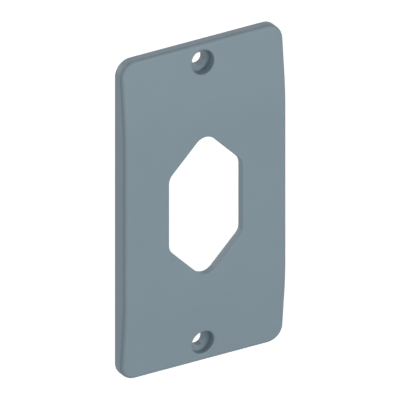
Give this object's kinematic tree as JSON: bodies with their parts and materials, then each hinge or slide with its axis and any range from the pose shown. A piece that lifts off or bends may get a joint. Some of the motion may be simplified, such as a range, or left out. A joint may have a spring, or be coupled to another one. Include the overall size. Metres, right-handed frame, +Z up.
{
  "type": "outlet box cover",
  "caption": "Crowned moulded cover plate for an outlet box, with a hexagonal socket window and deep recessed screw holes on its centre line.",
  "frame": {"origin": "midway between the two screw holes, in the plane of the back rim that meets the box", "axes": "+Z up the plate's height as it is fixed, +Y back into the box, so the front faces -Y, and +X to the right seen from the front"},
  "size_m": [0.0538, 0.0066, 0.1012],
  "materials": {
    "moulded_plastic": "satin blue-grey moulded plastic with a fine grain"
  },
  "bodies": {
    "root": {"cover_plate": "moulded_plastic"}
  },
  "joints": []
}
